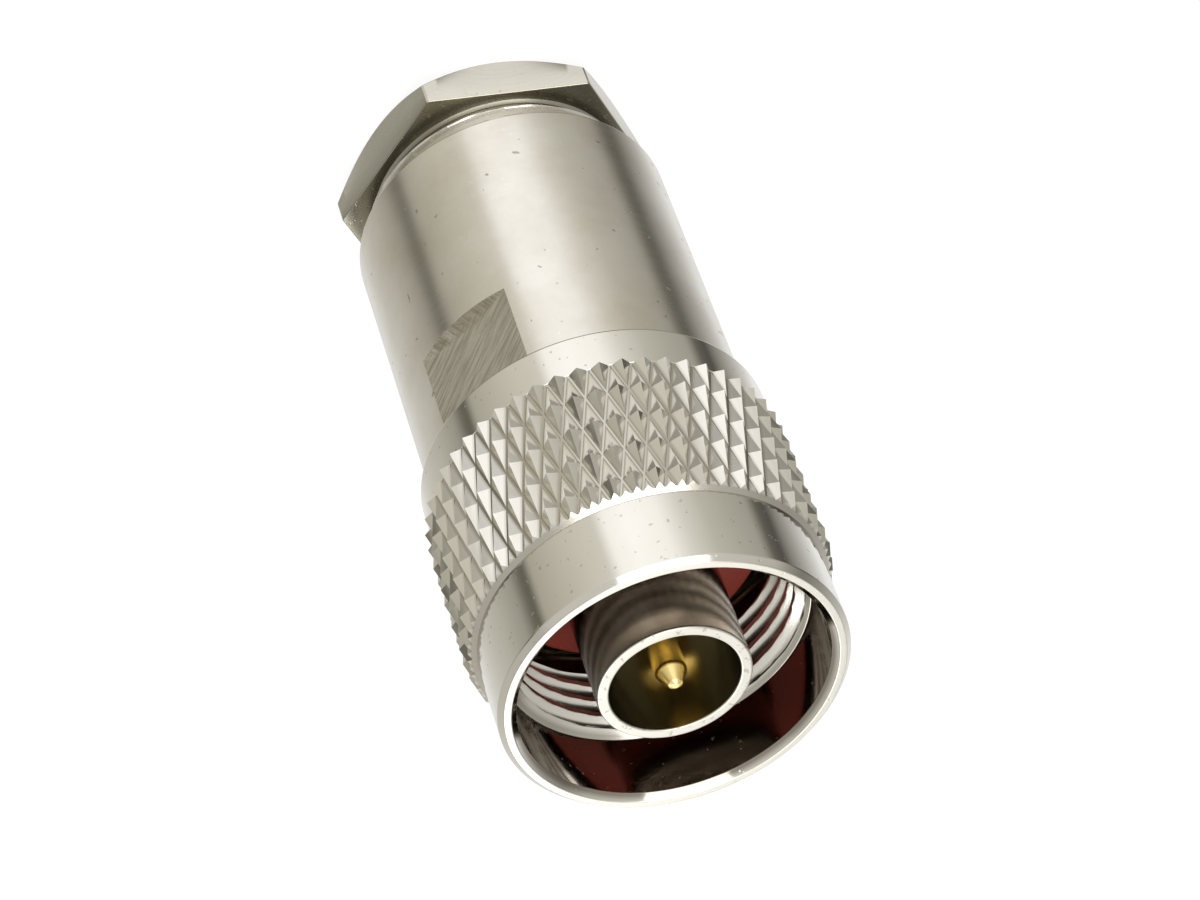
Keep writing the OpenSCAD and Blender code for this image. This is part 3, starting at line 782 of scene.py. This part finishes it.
nickel_clamp, f = material("nickel_clamp")
wall = f.radius > HEX_HALF - 0.02
slant = f.noise(f.vector(f.x * 0.5, f.y * 0.5, f.height * 7.0), 1.0, 4.0, 0.6)
lines = f.turning(7.0, 0.3)
burr = knocks(f, 2.2, 0.66)
edge = f.height.ramp(HEX_LENGTH - 0.35, HEX_LENGTH - 0.05) * (f.height < HEX_LENGTH + 0.01)
colour = f.blend(lines.ramp(0.35, 0.7) * 0.4, (0.72, 0.695, 0.635), (0.64, 0.605, 0.53))
# Painted shade: the hex's front face, under the body, is painted a dark olive.
painted_face_shade = (f.height > HEX_LENGTH - 0.05) * (f.height < HEX_LENGTH + 0.8)
colour = f.blend(painted_face_shade * 0.8, colour, (0.25, 0.235, 0.18))
colour = f.blend(burr * edge * 0.8, colour, (0.36, 0.33, 0.26))
f.surface(colour, 0.20 + lines * 0.12 + burr * 0.1,
    bump=wall * slant + (1 - wall) * lines - burr * edge * 3.0, bump_distance=0.005, bump_strength=0.5)
for piece in (clamp_shell, clamp_thread, braid_clamp):
    piece.data.materials.append(nickel_clamp)
print("satin nickel ready")

# %% [markdown]
# ## Bright contact tube and gold pin
# The tube is the part that carries the current, so it is plated bright, but plugging in has
# scuffed its ring-shaped end. Deep in the mouth its side gets a painted dark brown shade, lighter in
# random patches, and its bore a painted olive shade; the radius and the height choose those tones. The pin
# is gold over nickel: colour a little deeper where the gold is thick, and fine rings from the lathe under
# it.

# %% Mix the contact finishes
nickel_contact, f = material("nickel_contact")
lines = f.turning(10.0, 0.3)
end_face = f.height.ramp(CONTACT_END - 0.12, CONTACT_END - 0.06)
nicks = knocks(f, 2.9, 0.63)
shade_mottling = f.noise(f.point, 0.45, 3.0).ramp(0.48, 0.68)
# Painted shade: the tube's side is painted dark brown, lighter in random patches, and its bore a painted
# olive shade.
colour = f.blend(shade_mottling * 0.4, (0.185, 0.150, 0.115), (0.36, 0.33, 0.26))
bore = f.radius.ramp(CONTACT_BORE_R + 0.10, CONTACT_BORE_R + 0.04)
colour = f.blend(bore * 0.9, colour, (0.54, 0.50, 0.37))
colour = f.blend(end_face * 0.9, colour, (0.62, 0.605, 0.55))
colour = f.blend(nicks * end_face * 0.7, colour, (0.35, 0.32, 0.27))
f.surface(colour, 0.12 + lines * 0.10 + end_face * 0.16, bump=lines - nicks * end_face * 4.0,
    bump_distance=0.004, bump_strength=0.5)
for piece in (outer_contact, clamp_washer):
    piece.data.materials.append(nickel_contact)

gold, f = material("gold_pin")
lines = f.turning(12.0, 0.4)
thick = f.noise(f.point, 0.9, 3.0).ramp(0.35, 0.7)
colour = f.blend(thick * 0.6, (0.95, 0.76, 0.34), (0.84, 0.60, 0.20))
f.surface(colour, 0.16 + lines * 0.12, bump=lines, bump_distance=0.004, bump_strength=0.5)
centre_pin.data.materials.append(gold)
print("contact finishes ready")

# %% [markdown]
# ## Insulators, seals and the split ring
# The white insulator is a waxy fluoropolymer with faint turning rings. The seal at the mating
# end is red silicone, satin with fine dust; the cable seal is matt black rubber. The split
# spring ring sits out of sight in its groove and keeps its CAD mesh with a bronze finish.

# %% Mix the soft and hidden finishes
waxy, f = material("waxy_white")
lines = f.turning(5.0, 0.3)
mottling = f.noise(f.point, 0.7, 3.0)
f.surface(f.blend(mottling, (0.80, 0.785, 0.73), (0.72, 0.70, 0.64)), 0.42 + lines * 0.15, metallic=0.0,
    bump=lines, bump_distance=0.006, bump_strength=0.5)
for piece in (front_insulator, rear_insulator):
    piece.data.materials.append(waxy)

silicone, f = material("silicone_red")
dust = f.noise(f.point, 6.0, 4.0, 0.7)
tone = f.noise(f.point, 0.5, 2.0)
colour = f.blend(tone, (0.36, 0.055, 0.035), (0.24, 0.040, 0.028))
f.surface(f.blend(dust.ramp(0.55, 0.8) * 0.25, colour, (0.50, 0.22, 0.17)), 0.38 + dust * 0.2,
    metallic=0.0, bump=dust, bump_distance=0.01, bump_strength=0.5)
mating_seal.data.materials.append(silicone)

rubber, f = material("rubber_black")
dust = f.noise(f.point, 5.0, 4.0, 0.7)
f.surface(f.blend(dust.ramp(0.5, 0.8) * 0.4, (0.020, 0.020, 0.020), (0.09, 0.088, 0.083)),
    0.55 + dust * 0.2, metallic=0.0, bump=dust, bump_distance=0.02, bump_strength=0.6)
cable_seal.data.materials.append(rubber)

bronze, f = material("bronze_spring")
lines = f.turning(8.0, 0.3)
f.surface(f.blend(lines, (0.62, 0.47, 0.29), (0.50, 0.36, 0.21)), 0.28 + lines * 0.15, bump=lines,
    bump_distance=0.005, bump_strength=0.5)
ring_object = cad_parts["retaining_ring"]
ring_object.data.materials.clear()
ring_object.data.materials.append(bronze)
print("soft and hidden finishes ready")

# %% [markdown]
# ## Floor
# The plug stands on a plain pale floor. Seen directly, the floor is mostly its own white
# light with a share of real shading, so that the plug's soft shadow stays. Metal is left to
# reflect the studio round it instead, because a floor this close would fill every streak.

# %% Lay the floor
half = 3.0
floor_mesh = bpy.data.meshes.new("floor")
floor_mesh.from_pydata([(-half, -half, 0), (half, -half, 0), (half, half, 0), (-half, half, 0)], [],
    [(0, 1, 2, 3)])
floor = bpy.data.objects.new("floor", floor_mesh)
bpy.context.scene.collection.objects.link(floor)
floor.location.z = cad_box[0][2]
floor.visible_glossy = False
pale = bpy.data.materials.new("floor_pale")
f = Finish(pale)
shading = f.node("BsdfDiffuse", None, {"Color": (0.80, 0.80, 0.80)})
glow = f.node("Emission", None, {"Color": (1.0, 1.0, 1.0), "Strength": 1.05})
seen = f.node("LightPath", None, None, 0)
mixed = f.node("MixShader", None, {0: seen * 0.86, 1: shading, 2: glow})
f.node("OutputMaterial", None, {"Surface": mixed})
floor_mesh.materials.append(pale)
print("floor at", floor.location.z)

# %% [markdown]
# ## Studio light
# Turned metal shows nothing but its surroundings, so the surroundings are the light: one wide
# bright window, warm grey walls beside it, and two narrow dark gaps where the walls of the
# light tent end. They are bands of the world round the vertical axis, each given by its angle
# from the camera. Straight below it is dark, which sets the knurl's lower facets off from its
# upper ones. Two soft lamps above add shape and the floor's shadow.

# %% Hang the studio round the plug
world = bpy.data.worlds.new("studio")
bpy.context.scene.world = world
f = Finish(world)
direction = f.node("TexCoord", None, None, 0)
parts = f.tree.nodes.new("ShaderNodeSeparateXYZ")
connect(f.tree, parts.inputs[0], direction)
dx, dy, dz = (Signal(f.tree, out) for out in parts.outputs)
cos_a, sin_a = math.cos(CAMERA_AZIMUTH), math.sin(CAMERA_AZIMUTH)
ahead, aside = dx * cos_a + dy * sin_a, dy * cos_a - dx * sin_a
share = aside.math("ARCTAN2", aside, ahead) / (2 * math.pi) + 0.5

PEAK = 1.4
BANDS = [  # angle from the camera in degrees, brightness, warmth
    (-180, 0.86, 0.05), (-150, 0.95, 0.05), (-128, 0.58, 0.15), (-112, 0.30, 0.4), (-104, 0.10, 0.5),
    (-96, 0.15, 0.6), (-88, 0.45, 0.5),
    (-72, 0.53, 0.5), (-56, 0.64, 0.45), (-40, 0.88, 0.3), (-26, 1.24, 0.05), (-6, 1.34, 0.0),
    (8, 1.24, 0.05), (15, 0.82, 0.4),
    (32, 0.74, 0.55), (50, 0.61, 0.6), (65, 0.51, 0.6), (71, 0.14, 0.8), (76, 0.20, 0.8),
    (84, 0.42, 0.6), (104, 0.58, 0.5), (130, 0.70, 0.3), (155, 0.86, 0.1), (180, 0.86, 0.05)]
stops = [((a + 180) / 360, tuple(b / PEAK * c for c in (1.0, 1.0 - 0.05 * w, 1.0 - 0.27 * w))) for a, b,
    w in BANDS]
bands = f.node("ValToRGB", {"stops": stops}, {0: share})
overhead = dz.ramp(0.25, 0.75)
underfoot = dz.ramp(-0.80, -0.97)
room = f.blend(overhead, f.blend(underfoot, bands, (0.17, 0.163, 0.145)), (0.52, 0.515, 0.49))
strength = f.node("Background", None, {"Color": room, "Strength": PEAK})
white = f.node("Background", None, {"Color": (1.0, 1.0, 1.0), "Strength": 1.0})
f.node("OutputWorld", None, {"Surface": f.node("MixShader", None,
    {0: f.node("LightPath", None, None, 0), 1: strength, 2: white})})


def soft_lamp(name, azimuth, elevation, distance, size, watts):
    """A square lamp aimed at the plug's middle. Azimuth is counted from the camera's."""
    data = bpy.data.lights.new(name, "AREA")
    data.shape, data.size, data.energy = "SQUARE", size, watts
    lamp = bpy.data.objects.new(name, data)
    bpy.context.scene.collection.objects.link(lamp)
    a, e = CAMERA_AZIMUTH + math.radians(azimuth), math.radians(elevation)
    way = Vector((math.cos(a) * math.cos(e), math.sin(a) * math.cos(e), math.sin(e)))
    lamp.location = way * distance + Vector((0, 0, 0.02))
    lamp.rotation_mode = "QUATERNION"
    lamp.rotation_quaternion = way.to_track_quat("Z", "Y")
    lamp.visible_camera = False
    return lamp


soft_lamp("key", -20, 62, 0.6, 0.45, 1.9)
soft_lamp("fill", 150, 50, 0.7, 0.5, 2.2)
bpy.context.scene.view_settings.view_transform = "Standard"
print("studio ready")
